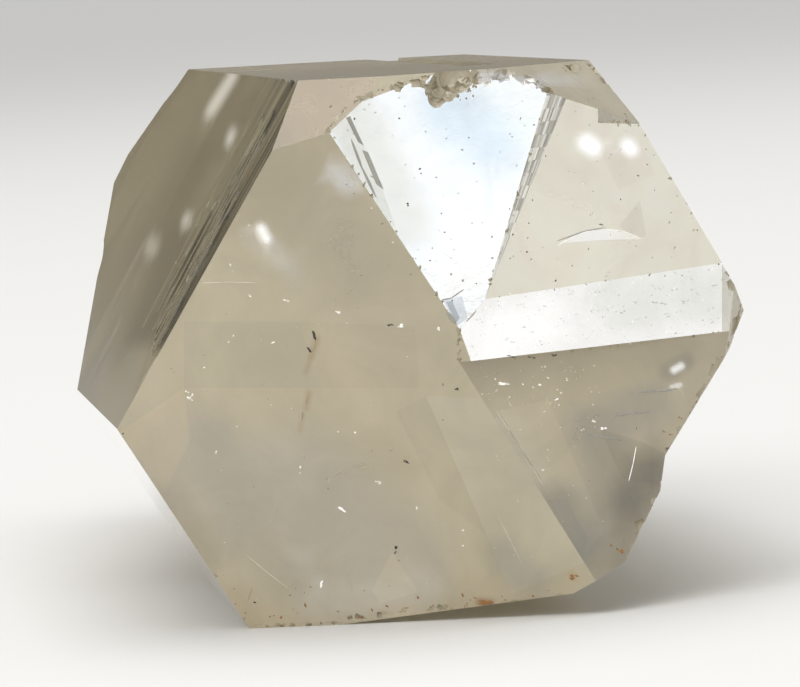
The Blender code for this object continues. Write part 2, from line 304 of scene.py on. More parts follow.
panes = [Pane(*row) for row in (  # face, outline in the photograph, tone, share of its mirror that is left
    ("broad", ((426, 396), (488, 398), (586, 562), (512, 594), (466, 487)), (1.05, 1.07, 1.14)),
    ("broad", ((396, 412), (426, 396), (466, 487), (486, 534), (440, 500)), (0.93, 0.93, 0.94)),
    ("broad", ((184, 322), (300, 322), (318, 388), (184, 388)), (0.92, 0.93, 0.94)),
    ("broad", ((300, 322), (415, 326), (420, 388), (318, 388)), (0.96, 0.95, 0.94)),
    ("broad", ((257, 212), (266, 222), (291, 266), (292, 271), (276, 270)), (1.03, 1.04, 1.10)),
    ("broad", ((120, 432), (184, 388), (190, 440), (165, 492)), (1.10, 1.07, 1.02)),
    ("broad", ((392, 552), (418, 592), (380, 604), (372, 590)), (1.10, 1.08, 1.05)),
    ("lower", ((497, 411), (548, 400), (604, 530), (584, 556)), (1.08, 1.08, 1.08)),
    ("lower", ((543, 500), (566, 498), (588, 540), (583, 560)), (0.90, 0.92, 0.95)),
    ("lower", ((568, 400), (640, 384), (636, 470), (604, 470)), (0.97, 0.97, 0.98)),
    # Painted shadow inside the crystal: the dark patch under the notch of the outline.
    ("lower", ((600, 429), (640, 441), (670, 456), (660, 486), (622, 478)), (0.88, 0.88, 0.87)),
    ("mirror", ((329, 130), (342, 110), (372, 160), (396, 228), (388, 222)), (0.94, 0.94, 0.92), 0.85),
    ("mirror", ((346, 118), (350, 116), (364, 146), (358, 142)), (0.40, 0.39, 0.34), 0.1),
    ("mirror", ((362, 150), (368, 152), (384, 190), (376, 184)), (0.50, 0.49, 0.44), 0.2),
    ("mirror", ((442, 299), (462, 296), (468, 318), (457, 326)), (0.84, 0.87, 0.92), 0.7),
    ("mirror", ((446, 302), (452, 301), (460, 318), (456, 323)), (0.62, 0.66, 0.72), 0.5),
    ("cream", ((598, 108), (640, 104), (641, 124), (598, 123)), (0.62, 0.62, 0.60), 0.3),
    ("cream", ((620, 225), (640, 200), (646, 236), (632, 240)), (0.88, 0.88, 0.88)),
    ("cream", ((600, 150), (640, 140), (655, 175), (618, 190)), (0.95, 0.94, 0.96)),
    # A painted highlight: the bright band where a fracture under the cream face catches the light.
    (
        "cream", ((562, 243), (580, 233), (602, 229), (628, 233), (640, 239), (602, 240)),
        (1.12, 1.12, 1.14), 1.6,
    ),
    ("band", ((722, 264), (735, 288), (735, 332), (722, 332)), (0.86, 0.84, 0.78), 0.6),
)]
chipSeed = 5
chipShape = {  # of the lumps that bite chips out of an edge: shares of a chip's size, and angles in radians
    "bite": 0.42, "roughness": 0.45, "swell": 1.9, "narrowest": 0.8, "width": 1.3, "thinnest": 0.6, "depth": 0.4,
    "tilt": 1.1, "turn": 6.28, "lift": 0.72, "smallMore": 2.2, "noiseStep": 1.7, "noiseRow": 4.0,
}
edgeChips = [ChipRun(*row) for row in (  # count, smallest and largest in millimetres, scatter, run in the photograph
    (22, (0.03, 0.14), 4, ((329, 130), (345, 107), (365, 95), (385, 90), (420, 80), (436, 78))),
    (20, (0.04, 0.2), 4, ((485, 73), (510, 74), (530, 80), (548, 90))),
    (70, (0.03, 0.13), 12, ((424, 80), (436, 98), (456, 90), (482, 80))),
    (12, (0.02, 0.06), 2, ((329, 130), (365, 185), (410, 252), (441, 299), (457, 326))),
    (12, (0.02, 0.05), 2, ((548, 91), (528, 160), (505, 240), (485, 299))),
    (16, (0.02, 0.08), 3, ((567, 97), (597, 100), (598, 121), (640, 125))),
    (12, (0.02, 0.07), 3, ((458, 328), (459, 345), (460, 362))),
    (18, (0.02, 0.05), 2, ((460, 362), (530, 356), (600, 347), (733, 331))),
    (6, (0.02, 0.03), 1, ((485, 299), (600, 282), (722, 263))),
    (16, (0.05, 0.24), 4, ((728, 268), (735, 290), (742, 305), (735, 331))),
    (8, (0.02, 0.06), 2, ((640, 125), (680, 192), (722, 263))),
    (16, (0.03, 0.14), 3, ((732, 338), (700, 395), (666, 455))),
    (16, (0.03, 0.16), 3, ((664, 462), (660, 490), (650, 511), (641, 529), (626, 560))),
    (16, (0.05, 0.26), 5, ((618, 572), (600, 586), (575, 595), (548, 597))),
    (44, (0.02, 0.08), 4, ((545, 597), (480, 605), (410, 611), (340, 620), (300, 626), (250, 625))),
    (7, (0.02, 0.05), 2, ((246, 622), (200, 552), (150, 475), (119, 430))),
    (6, (0.02, 0.05), 1, ((292, 80), (338, 79), (347, 106), (329, 131))),
    (14, (0.04, 0.18), 3, ((560, 68), (590, 66), (606, 82), (638, 121))),
)]
grooveRows = {  # fine rows of the upper left face, in millimetres; a ridge is a noise's scale across, scale along and row
    "rimPixel": (212, 255),
    "count": 72, "reach": 30.0, "crowding": 1.7, "jitter": 0.7, "depth": 0.11, "seed": 11,
    "cutStep": 0.2, "cuts": range(-60, 62),
    "broadRidge": (2.1, 0.10, 3.0), "fineRidge": (5.3, 0.16, 8.0), "fineShare": 0.6,
    "fadeReach": 20.0, "leastFade": 0.2, "lowEnd": 5.5, "lowFade": 2.5,
}
paintedGrooveTone = {  # painted shade and light of the same face: dark and light streaks along its grooves, darkest near the rim
    "broad": (1.9, 0.12, 21.0), "fine": (4.7, 0.20, 5.0), "fineShare": 0.7, "cloud": (0.35, 0.16, 40.0),
    "cloudShare": 0.30, "streakShare": 0.22, "streakReach": 14.0, "leastStreak": 0.15,
    "rimReach": 7.5, "rimStart": 1.35, "rimDark": 1.02, "rimStreak": 2.3,
    "lowPixel": 362.0, "lowFade": 30.0, "palePixel": 175.0, "paleFade": 60.0, "paleLeft": 0.55,
    "darkest": 0.04, "palest": 1.5,
}


def faceNormal(look):
    if "end" in look:
        azimuth, slope = look["end"]
        angle = math.radians(azimuth)
        return Vector((math.cos(angle) * slope, -1.0, math.sin(angle) * slope)).normalized()
    angle = math.radians(look["side"])
    return Vector((math.cos(angle), 0.0, math.sin(angle)))


def nameOfFace(face):
    best, closest = "broken", 0.0
    for name, look in crystalFaces.items():
        if "end" not in look and "side" not in look:
            continue
        along = face.normal.dot(faceNormal(look))
        limit = sameEndFace if "end" in look else sameSideFace
        if along > limit and along > closest:
            best, closest = name, along
    if best == "broken":
        centre = face.calc_center_median() / mm - axisPlace
        depth = rimFaceDistance - centre.dot(faceNormal(crystalFaces["upperLeft"]))
        if depth < grooveReach["depth"] and grooveReach["front"] < centre.y < grooveReach["back"]:
            best = "groove"
        elif centre.y < 0.0:
            best = "chip"
    return best


def cutFaces(mesh, kinds, kindLayer, planes, near=None):
    wanted = {kindNames.index(name) for name in kinds}
    for place, normal in planes:
        faces = [face for face in mesh.faces if face[kindLayer] in wanted and (near is None or near(face))]
        edges = {edge for face in faces for edge in face.edges}
        verts = {vert for face in faces for vert in face.verts}
        geometry = [*verts, *edges, *faces]
        bmesh.ops.bisect_plane(mesh, geom=geometry, dist=cutGap, plane_co=place, plane_no=normal)


def photoPlane(first, second):
    place, rayOne = pixelRay(*first)
    rayTwo = pixelRay(*second)[1]
    return place, rayOne.cross(rayTwo).normalized()


def rimAxes():
    side = faceNormal(crystalFaces["upperLeft"])
    along = side.cross(faceNormal(crystalFaces["broad"])).normalized()
    if along.z < 0:
        along = -along
    across = side.cross(along).normalized()
    if across.y < 0:
        across = -across
    return side, along, across


def stretchedNoise(reach, run, scales):
    return noise.noise(Vector((reach * scales[0], run * scales[1], scales[2])))


def clamp(value):
    return min(1.0, max(0.0, value))


def cutGrooveRows(mesh, kindLayer, rim):
    rows = grooveRows
    side, along, across = rimAxes()
    planes = []
    for index in range(1, rows["count"]):
        share = (index + rows["jitter"] * (noise.random() - 0.5)) / rows["count"]
        reach = rows["reach"] * share ** rows["crowding"]
        planes.append((rim + across * reach * mm, across))
    cutFaces(mesh, ("upperLeft",), kindLayer, planes)
    ends = [(rim + along * step * rows["cutStep"] * mm, along) for step in rows["cuts"]]
    cutFaces(mesh, ("upperLeft",), kindLayer, ends)
    wanted = kindNames.index("upperLeft")
    for vert in mesh.verts:
        if any(face[kindLayer] != wanted for face in vert.link_faces):
            continue
        place = (vert.co - rim) / mm
        reach, run = place.dot(across), place.dot(along)
        ridge = stretchedNoise(reach, run, rows["broadRidge"])
        ridge += rows["fineShare"] * stretchedNoise(reach, run, rows["fineRidge"])
        fade = max(rows["leastFade"], 1.0 - reach / rows["fadeReach"])
        fade *= clamp((run + rows["lowEnd"]) / rows["lowFade"])
        vert.co -= side * (0.5 + 0.5 * ridge) * rows["depth"] * fade * mm


# Painted shade and light of the grooved face: its tint darkened and lightened in streaks along the grooves, and
# darkened near the rim.
def paintedGrooveShade(place, rim, base):
    side, along, across = rimAxes()
    offset = (place - rim) / mm
    reach, run = offset.dot(across), offset.dot(along)
    tone = paintedGrooveTone
    streak = stretchedNoise(reach, run, tone["broad"]) + tone["fineShare"] * stretchedNoise(reach, run, tone["fine"])
    height = pixelOf(place).y
    pale = min(1.0, abs(height - tone["palePixel"]) / tone["paleFade"])
    near = clamp(tone["rimStart"] - reach / tone["rimReach"])
    near *= clamp((tone["lowPixel"] - height) / tone["lowFade"])
    near *= tone["paleLeft"] + (1.0 - tone["paleLeft"]) * pale
    shade = 1.0 + tone["cloudShare"] * stretchedNoise(reach, run, tone["cloud"])
    shade += tone["streakShare"] * streak * max(tone["leastStreak"], 1.0 - reach / tone["streakReach"])
    shade -= near * (tone["rimDark"] - tone["rimStreak"] * streak)
    return base * min(tone["palest"], max(tone["darkest"], shade))


def distanceToRun(pixel, first, second):
    run = second - first
    share = clamp((pixel - first).dot(run) / run.length_squared)
    return (pixel - first - run * share).length


# Lays the washes over a tint: haze and stains, painted shade, and painted highlights with their glow and mirror
# share.
def washedTintAndLight(name, pixel, tint):
    gloss, glow = 0.0, 0.0
    for wash in washes:
        if name not in wash.faces.split():
            continue
        gap = distanceToRun(pixel, Vector(wash.line[0]), Vector(wash.line[1])) - wash.wide
        if gap < wash.soft:
            strength = 1.0 - max(0.0, gap) / wash.soft
            strength = strength * strength * (3.0 - 2.0 * strength) * wash.share
            tint = tint.lerp(Vector(wash.tint), strength)
            gloss = max(gloss, wash.mirror * strength)
            glow = max(glow, wash.glow * strength)
    return tint, gloss, glow


def refineWash(mesh, kindLayer, wash):
    first, second = (Vector(place) for place in wash.line)
    reach = wash.wide + wash.soft
    step = wash.soft / fineWash["cuts"]
    left, right = min(first.x, second.x) - reach, max(first.x, second.x) + reach
    top, bottom = min(first.y, second.y) - reach, max(first.y, second.y) + reach
    planes = []
    for index in range(int((right - left) / step) + 1):
        x = left + step * index
        planes.append(photoPlane((x, top), (x, bottom)))
    for index in range(int((bottom - top) / step) + 1):
        y = top + step * index
        planes.append(photoPlane((left, y), (right, y)))
    cutFaces(mesh, wash.faces.split(), kindLayer, planes, lambda face: nearRun(face, first, second, reach))


def nearRun(face, first, second, reach):
    middle = pixelOf(face.calc_center_median())
    size = max((pixelOf(vert.co) - middle).length for vert in face.verts)
    return distanceToRun(middle, first, second) < reach + size * 0.5


def insideOutline(pixel, outline):
    inside = False
    for (x1, y1), (x2, y2) in zip(outline, outline[1:] + outline[:1]):
        if (y1 > pixel.y) != (y2 > pixel.y) and pixel.x < x1 + (x2 - x1) * (pixel.y - y1) / (y2 - y1):
            inside = not inside
    return inside


def paneTone(name, pixel):
    tone, mirror = Vector((1.0, 1.0, 1.0)), 1.0
    for pane in panes:
        if pane.face == name and insideOutline(pixel, pane.outline):
            tone = tone * Vector(pane.tone)
            mirror *= pane.mirror
    return tone, mirror


def pixelOf(place):
    offset = place - Vector(photoCamera["place"]) * mm
    ahead = -offset.dot(Vector(photoCamera["back"]))
    scale = photoCamera["focalPixels"] / ahead
    x = photoCamera["frameWidth"] / 2 + offset.dot(Vector(photoCamera["right"])) * scale
    y = photoCamera["frameHeight"] / 2 - offset.dot(Vector(photoCamera["up"])) * scale
    return Vector((x, y))


def chipPlaces(tree):
    for run in edgeChips:
        places = [Vector(place) for place in run.line]
        lengths = [(second - first).length for first, second in zip(places, places[1:])]
        for index in range(run.count):
            reach = (index + noise.random()) / run.count * sum(lengths)
            for first, second, length in zip(places, places[1:], lengths):
                if reach <= length:
                    break
                reach -= length
            pixel = first.lerp(second, min(1.0, reach / length))
            pixel += Vector((noise.random() - 0.5, noise.random() - 0.5)) * run.scatter
            hit, normal, _, _ = tree.ray_cast(*pixelRay(*pixel))
            if hit is not None:
                small, large = run.size
                yield hit, normal, small + (large - small) * noise.random() ** chipShape["smallMore"]


def randomTurn(angle, axis):
    return Matrix.Rotation((noise.random() - 0.5) * angle, 4, axis)


def makeChips(tree):
    look = chipShape
    mesh = bmesh.new()
    for index, (hit, normal, size) in enumerate(chipPlaces(tree)):
        verts = bmesh.ops.create_cube(mesh, size=2.0)["verts"]
        shift = Vector((index * look["noiseStep"], 0.0, look["noiseRow"]))
        for vert in verts:
            vert.co *= 1.0 + look["roughness"] * noise.noise(vert.co * look["swell"] + shift)
        wide = look["narrowest"] + look["width"] * noise.random()
        deep = look["thinnest"] + look["depth"] * noise.random()
        side = normal.orthogonal().normalized()
        stand = Matrix((side, normal.cross(side), normal)).transposed().to_4x4()
        tilt = randomTurn(look["tilt"], "X") @ randomTurn(look["tilt"], "Y")
        turn = stand @ Matrix.Rotation(noise.random() * look["turn"], 4, "Z") @ tilt
        out = (deep * look["lift"] - look["bite"] * 0.5) * size
        scale = Matrix.Diagonal((wide * size * mm, size * mm, deep * size * mm, 1.0))
        matrix = Matrix.Translation(hit + normal * out * mm) @ turn @ scale
        bmesh.ops.transform(mesh, verts=verts, matrix=matrix)
    return makePiece("edgeChips", mesh)


def chipEdges(data, tree):
    body = bpy.data.objects.new("crystalBody", data)
    bpy.context.scene.collection.objects.link(body)
    chips = makeChips(tree)
    cut = body.modifiers.new("edgeChips", "BOOLEAN")
    cut.operation = "DIFFERENCE"
    cut.solver = "EXACT"
    cut.use_self = True
    cut.object = chips
    bpy.context.view_layer.update()
    mesh = bmesh.new()
    mesh.from_object(body, bpy.context.evaluated_depsgraph_get())
    for thing in (body, chips):
        leftOver = thing.data
        bpy.data.objects.remove(thing)
        bpy.data.meshes.remove(leftOver)
    return mesh


def makePiece(name, mesh):
    data = bpy.data.meshes.new(name)
    mesh.to_mesh(data)
    mesh.free()
    piece = bpy.data.objects.new(name, data)
    bpy.context.scene.collection.objects.link(piece)
    return piece


def mergedNode():
    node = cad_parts["phenakite_crystal"]
    mesh = bmesh.new()
    mesh.from_mesh(node.data)
    bmesh.ops.remove_doubles(mesh, verts=mesh.verts, dist=mergeGap)
    bmesh.ops.dissolve_limit(mesh, angle_limit=flatAngle, verts=mesh.verts, edges=mesh.edges)
    mesh.normal_update()
    tree = BVHTree.FromBMesh(mesh)
    data = bpy.data.meshes.new("mergedCrystal")
    mesh.to_mesh(data)
    mesh.free()
    return data, tree


def cutForPaint(mesh, kindLayer):
    planes = []
    for key, axis in (("across", Vector((1, 0, 0))), ("up", Vector((0, 0, 1)))):
        begin, stop = paintGrid[key]
        for step in range(1, int((stop - begin) / paintGrid["step"])):
            planes.append((axis * (begin + step * paintGrid["step"]) * mm, axis))
    cutFaces(mesh, paintGrid["faces"], kindLayer, planes)
    planes = []
    for first, second, steps in sliverCuts.values():
        for step in steps:
            ends = [(x + step * right, y + step * down) for (x, y), (right, down) in (first, second)]
            planes.append(photoPlane(*ends))
    cutFaces(mesh, ("sliver",), kindLayer, planes)
    for wash in washes:
        if wash.soft <= fineWash["fade"] and "upperLeft" not in wash.faces:
            refineWash(mesh, kindLayer, wash)
    for pane in panes:
        places = [Vector(place) for place in pane.outline]
        planes = [photoPlane(*pair) for pair in zip(places, places[1:] + places[:1])]
        cutFaces(mesh, (pane.face,), kindLayer, planes)


def paintFaces(mesh, kindLayer, rim):
    # The tint attribute holds the crystal's colour together with painted shade and painted highlights.
    tint = mesh.loops.layers.float_color.new("faceTint")
    layers = {name: mesh.loops.layers.float_color.new(name) for name in maskSets}
    for face in mesh.faces:
        face.smooth = False
        name = kindNames[face[kindLayer]]
        look = crystalFaces[name]
        base = Vector(look["tint"])
        tone, mirror = paneTone(name, pixelOf(face.calc_center_median()))
        if name == "sliver":
            streak = noise.random()
            tone *= sliverTone["darkest"] + sliverTone["spread"] * streak
            mirror *= sliverTone["leastMirror"] + sliverTone["mirrorSpread"] * streak
        finish = {mask: look.get(mask, 0.0) for names in maskSets.values() for mask in names}
        finish["mirror"] *= mirror
        for loop in face.loops:
            start = paintedGrooveShade(loop.vert.co, rim, base) if name == "upperLeft" else base
            colour, gloss, glow = washedTintAndLight(name, pixelOf(loop.vert.co), start)
            shown = {**finish, "mirror": max(finish["mirror"], gloss), "glow": glow}
            loop[tint] = (*(min(1.0, value * change) for value, change in zip(colour, tone)), 1.0)
            for setName, layer in layers.items():
                values = [shown[mask] for mask in maskSets[setName]]
                loop[layer] = (*values, *(0.0,) * (3 - len(values)), 1.0)


def makeCrystal():
    data, whole = mergedNode()
    noise.seed_set(chipSeed)
    mesh = chipEdges(data, whole)
    mesh.normal_update()
    kindLayer = mesh.faces.layers.int.new("kind")
    for face in mesh.faces:
        face[kindLayer] = kindNames.index(nameOfFace(face))
    noise.seed_set(grooveRows["seed"])
    rim = whole.ray_cast(*pixelRay(*grooveRows["rimPixel"]))[0]
    cutGrooveRows(mesh, kindLayer, rim)
    cutForPaint(mesh, kindLayer)
    paintFaces(mesh, kindLayer, rim)
    openEdges = sum(not edge.is_manifold for edge in mesh.edges)
    print("crystal ready, faces", len(mesh.faces), "open edges", openEdges)
    return makePiece("crystal", mesh), whole


crystalLook = {  # of the clear crystal, and how far each mask changes it
    "roughness": 0.14,
    "hazyRoughness": 0.16,
    "brokenRoughness": 0.18,
    "mirrorRoughness": -0.06,
    "dullRoughness": 0.12,
    "mirrorMetal": 0.66,
    "dullCoat": 0.9,
    "cloud": (0.30, 4.0, 0.62, 0.8),  # scale, detail, roughness and distortion of a noise
    "peel": (2.3, 3.0, 0.6),
    "crumb": (1.3, 7.0, 0.68),
    "cloudTone": 0.55,
    "cloudRoughness": 0.14,
    "pitScale": 1.6,
    "pitEdge": (0.03, 0.07),
    "pitColour": (0.30, 0.27, 0.22),
    "pitShare": 0.55,
    "heights": {"fine": 0.000004, "peel": 0.000075, "broken": 0.0002, "pit": 0.00005},  # metres
    "clearness": 0.62,
    "paintedGlowStrength": 1.0,
    "refraction": 1.66,
    "coatRoughness": 0.03,
    "absorbColour": (0.62, 0.52, 0.26),
    "absorbDensity": 9.0,
}


def makeCrystalMaterial():
    look = crystalLook
    kit = Kit(bpy.data.materials.new("clearCrystal"))
    inMm = kit.node("ShaderNodeVectorMath", {"operation": "SCALE"}, {0: kit.objectPlace(), 3: 1 / mm})
    mask = {}
    for setName, names in maskSets.items():
        mask.update(zip(names, kit.parts("ShaderNodeSeparateColor", kit.attribute(setName))))
    cloud = kit.noise(inMm, *look["cloud"]) - 0.5
    colour = kit.mixColour(1.0, kit.attribute("faceTint"), kit.grey(cloud * look["cloudTone"] + 1.0), "MULTIPLY")

    spots = kit.node("ShaderNodeTexVoronoi", {"feature": "F1"}, {"Vector": inMm, "Scale": look["pitScale"]})
    pit = (1.0 - spots.between(*look["pitEdge"])) * mask["pits"]
    colour = kit.mixColour(pit * look["pitShare"], colour, look["pitColour"])

    roughness = cloud * look["cloudRoughness"] + look["roughness"]
    for name in ("hazy", "broken", "mirror", "dull"):
        roughness = roughness + mask[name] * look[name + "Roughness"]
    heights = look["heights"]
    height = kit.noise(inMm, *look["peel"]) * (mask["peel"] * heights["peel"] + heights["fine"])
    height = height + kit.noise(inMm, *look["crumb"]) * mask["broken"] * heights["broken"]
    height = height - pit * heights["pit"]

    kit.set(
        Base_Color=colour,
        Roughness=roughness,
        Metallic=mask["mirror"] * look["mirrorMetal"] * (1.0 - pit),
        IOR=look["refraction"],
        Transmission_Weight=look["clearness"],
        Coat_Weight=1.0 - mask["dull"] * look["dullCoat"],
        Coat_Roughness=look["coatRoughness"],
        # The emission is painted highlight: glints, flares and bright streaks that the glow mask makes shine.
        Emission_Color=kit.grey(mask["glow"]),
        Emission_Strength=look["paintedGlowStrength"],
        Normal=kit.node("ShaderNodeBump", {}, {"Height": height, "Strength": 1.0, "Distance": 1.0}),
    )
    absorb = {"Color": look["absorbColour"], "Density": look["absorbDensity"]}
    volume = kit.node("ShaderNodeVolumeAbsorption", {}, absorb)
    kit.feed(kit.tree.nodes["Material Output"].inputs["Volume"], volume)
    return kit.owner


# marks: flecks, specks, stains and small fractures that show in the end faces; the glow of the pale flecks and the
# bright fracture lines is painted highlight
marks = {
    # Pale flecks in the crystal; their glow is painted highlight, light that they catch.
    "brightFleck": {
        "colour": (0.96, 0.95, 0.90), "glow": 0.35,
        "spots": (  # pixel place, length, width, turn in degrees
            (338, 312, 6, 2.4, 20), (400, 326, 7, 2.4, -15), (190, 396, 6, 3, -60), (193, 400, 4, 2, 20),
            (187, 392, 3, 2, 0), (230, 342, 4, 2, 30), (272, 343, 5, 2, 0), (342, 510, 9, 3, 20),
            (440, 330, 6, 2, 50), (593, 421, 5, 2, 10), (604, 429, 6, 3, 0), (582, 430, 4, 2, 0),
            (504, 384, 12, 2, 5), (540, 385, 5, 2, 0), (556, 399, 5, 2, 0), (727, 355, 6, 3, 60),
            (714, 377, 5, 3, 60), (215, 452, 4, 2, 0), (286, 300, 5, 2, 10), (355, 432, 4, 2, 30),
            (418, 508, 4, 2, 0), (300, 468, 4, 2, 60), (322, 585, 8, 3, 110), (250, 296, 4, 2, 0),
            (205, 368, 4, 2, 0), (464, 545, 4, 2, 0), (378, 482, 6, 2, 30),
        ),
    },
    "darkSpeck": {
        "colour": (0.06, 0.05, 0.04), "glow": 0.0,
        "spots": (
            (406, 462, 7, 3, 20), (396, 548, 4, 4, 0), (396, 553, 4, 3, 0), (255, 603, 4, 3, 0),
            (315, 335, 10, 3, 70), (310, 350, 8, 2.4, 60), (390, 325, 6, 2.4, 20), (330, 106, 4, 2, 0),
            (443, 385, 4, 2, 0), (457, 389, 6, 2.4, 0), (408, 205, 4, 3, 0), (421, 173, 3, 2, 0),
            (602, 225, 5, 2, 0), (511, 356, 7, 2.4, 0), (532, 358, 6, 2, 0), (555, 355, 7, 2, 0),
            (375, 112, 2.6, 1.6, 0), (398, 98, 2.4, 1.6, 0), (462, 150, 2.6, 1.6, 0), (445, 232, 2.4, 1.6, 0),
            (430, 260, 2.4, 1.6, 0),
        ),
    },
    "rustSpeck": {
        "colour": (0.42, 0.20, 0.06), "glow": 0.0,
        "spots": (
            (487, 602, 14, 4, 0), (476, 598, 5, 3, 0), (680, 418, 5, 3, 0), (664, 431, 4, 2, 0),
            (671, 434, 4, 2, 0), (620, 551, 8, 4, 30), (574, 577, 8, 4, 10), (405, 608, 6, 2, 0),
            (360, 617, 6, 2, 0), (398, 560, 3, 2, 0), (612, 545, 4, 2, 0),
        ),
    },
    "veinStain": {
        "colour": (0.56, 0.45, 0.29), "glow": 0.0,
        "lines": (  # runs of pixel places, and a width
            ((316, 342), (312, 352), 1.6),
            ((308, 396), (306, 404), 1.0),
            ((303, 412), (302, 420), 1.0),
            ((241, 604), (236, 612), (233, 617), 1.2),
            ((252, 588), (248, 600), 0.9),
        ),
    },
    "greyLine": {
        "colour": (0.42, 0.40, 0.35), "glow": 0.0,
        "lines": (
            ((340, 118), (352, 142), (362, 168), (375, 195), 3.0),
            ((352, 142), (360, 162), 2.4),
            ((442, 299), (447, 312), (455, 323), 5.0),
            ((442, 300), (451, 298), (463, 290), 1.6),
            ((485, 299), (476, 311), (467, 321), 1.8),
            ((508, 216), (530, 210), 1.4),
            ((590, 435), (620, 440), (665, 457), 1.8),
            ((640, 392), (658, 391), (676, 389), 2.4),
            ((615, 416), (632, 413), (650, 412), 1.8),
            ((560, 240), (585, 231), (604, 228), 1.4),
            ((502, 418), (520, 447), (540, 478), 1.0),
        ),
    },
    "paleLine": {
        "colour": (0.84, 0.78, 0.62), "glow": 0.0,
        "lines": (
            ((205, 283), (232, 282), (256, 283), 0.7),
            ((497, 413), (512, 434), (530, 462), (541, 482), 0.9),
            ((247, 556), (268, 573), (286, 587), 0.8),
            ((344, 560), (352, 590), 0.7),
            ((500, 520), (520, 560), 0.7),
        ),
    },
    # Painted highlight: light caught along fractures inside the crystal, drawn as white glowing lines.
    "brightLine": {
        "colour": (0.98, 0.97, 0.93), "glow": 0.25,
        "lines": (
            ((560, 244), (578, 234), (600, 229), (622, 231), (640, 238), 1.3),
            ((636, 447), (633, 464), (629, 480), 1.0),
        ),
    },
}
markShape = {  # millimetres that a mark stands out of its face, and how its lumps are shaped
    "height": 0.020,
    "pixel": 0.03,  # millimetres that one pixel of the photograph covers
    "swell": 1.9,
    "rough": 0.75,
    "straight": 0.2,
    "lineOverlap": 0.12,
    "crumbsPerPixel": 0.6,
    "crumbSpread": 0.8,
    "crumbReach": (0.16, 0.2),  # the least, and what chance adds, as shares of the spot's length
    "crumbWidth": (0.35, 0.5),  # the same of its width
}
markFinish = {"grain": (5000.0, 3.0, 0.6), "darker": 0.6, "roughness": 0.45}


def addShard(mesh, tree, first, second, width, crumble):
    firstHit, normal, _, _ = tree.ray_cast(*pixelRay(*first))
    secondHit, otherNormal, _, _ = tree.ray_cast(*pixelRay(*second))
    if firstHit is None or secondHit is None or normal.dot(otherNormal) < sameEndFace:
        return
    run = secondHit - firstHit
    run -= normal * run.dot(normal)
    detail = 1 if crumble > 0.5 else 2
    verts = bmesh.ops.create_icosphere(mesh, subdivisions=detail, radius=1.0)["verts"]
    wide = width * markShape["pixel"] * 0.5 * mm
    turn = Matrix((run.normalized(), normal.cross(run.normalized()), normal)).transposed().to_4x4()
    scale = Matrix.Diagonal((max(run.length / 2, wide), wide, markShape["height"] * mm, 1.0))
    for vert in verts:
        vert.co *= 1.0 + crumble * noise.noise(vert.co * markShape["swell"] + Vector((first[0], first[1], 0.0)))
    matrix = Matrix.Translation((firstHit + secondHit) / 2) @ turn @ scale
    bmesh.ops.transform(mesh, verts=verts, matrix=matrix)


dust = (  # fine specks strewn over the faces: kind, corners of a photograph box, count, size in pixels
    # The pale flecks strewn here glow with painted highlight.
    ("brightFleck", (170, 150, 600, 600), 70, (0.5, 1.6)),
    ("brightFleck", (470, 365, 600, 430), 60, (0.5, 1.4)),
    ("brightFleck", (480, 400, 620, 560), 30, (0.4, 1.2)),
    ("brightFleck", (466, 290, 720, 360), 26, (0.7, 1.8)),
    ("darkSpeck", (170, 250, 600, 610), 30, (0.6, 1.6)),
    ("darkSpeck", (340, 100, 540, 260), 46, (0.8, 1.8)),
    ("darkSpeck", (500, 110, 700, 280), 60, (0.7, 1.6)),
    ("rustSpeck", (230, 585, 600, 620), 40, (1.0, 3.0)),
    ("rustSpeck", (440, 76, 480, 104), 16, (1.0, 3.0)),
    ("rustSpeck", (600, 400, 700, 560), 14, (0.8, 2.0)),
)
dustSeed = 23


def wayOf(angle):
    return Vector((math.cos(math.radians(angle)), math.sin(math.radians(angle))))


def dustSpots(name):
    for kind, (x1, y1, x2, y2), count, (small, large) in dust:
        if kind == name:
            for _ in range(count):
                size = small + (large - small) * noise.random() ** 3
                x, y = x1 + (x2 - x1) * noise.random(), y1 + (y2 - y1) * noise.random()
                length = size * (1.0 + noise.random())
                reach = wayOf(noise.random() * 180) * length / 2
                yield (x - reach.x, y - reach.y), (x + reach.x, y + reach.y), size


def addSpot(mesh, tree, place, length, width, angle):
    line = wayOf(angle)
    leastReach, moreReach = markShape["crumbReach"]
    leastWidth, moreWidth = markShape["crumbWidth"]
    crumbs = max(1, round(length * markShape["crumbsPerPixel"]))
    for _ in range(crumbs):
        middle = place + line * (noise.random() - 0.5) * length * markShape["crumbSpread"]
        middle += Vector((-line.y, line.x)) * (noise.random() - 0.5) * width
        share = leastReach + moreReach * noise.random() if crumbs > 1 else 0.5
        reach = line * length * share
        wide = width * (leastWidth + moreWidth * noise.random())
        addShard(mesh, tree, middle - reach, middle + reach, wide, markShape["rough"])


def makeMarkFinish(name, look):
    kit = Kit(bpy.data.materials.new(name + "Finish"))
    grain = kit.noise(kit.objectPlace(), *markFinish["grain"])
    darker = tuple(value * markFinish["darker"] for value in look["colour"])
    kit.set(Base_Color=kit.mixColour(grain, darker, look["colour"]), Roughness=markFinish["roughness"])
    # A mark's glow is painted highlight.
    if look["glow"]:
        kit.set(Emission_Color=look["colour"], Emission_Strength=look["glow"])
    return kit.owner


def makeMarks(tree):
    noise.seed_set(dustSeed)
    for name, look in marks.items():
        mesh = bmesh.new()
        for first, second, width in dustSpots(name):
            addShard(mesh, tree, first, second, width, markShape["rough"])
        for x, y, length, width, angle in look.get("spots", ()):
            addSpot(mesh, tree, Vector((x, y)), length, width, angle)
        for *places, width in look.get("lines", ()):
            for first, second in zip(places, places[1:]):
                reach = (Vector(second) - Vector(first)) * markShape["lineOverlap"]
                ends = (Vector(first) - reach, Vector(second) + reach)
                addShard(mesh, tree, *ends, width, markShape["straight"])
        piece = makePiece(name, mesh)
        piece.data.materials.append(makeMarkFinish(name, look))
        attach(piece, "root")
    print("marks ready")


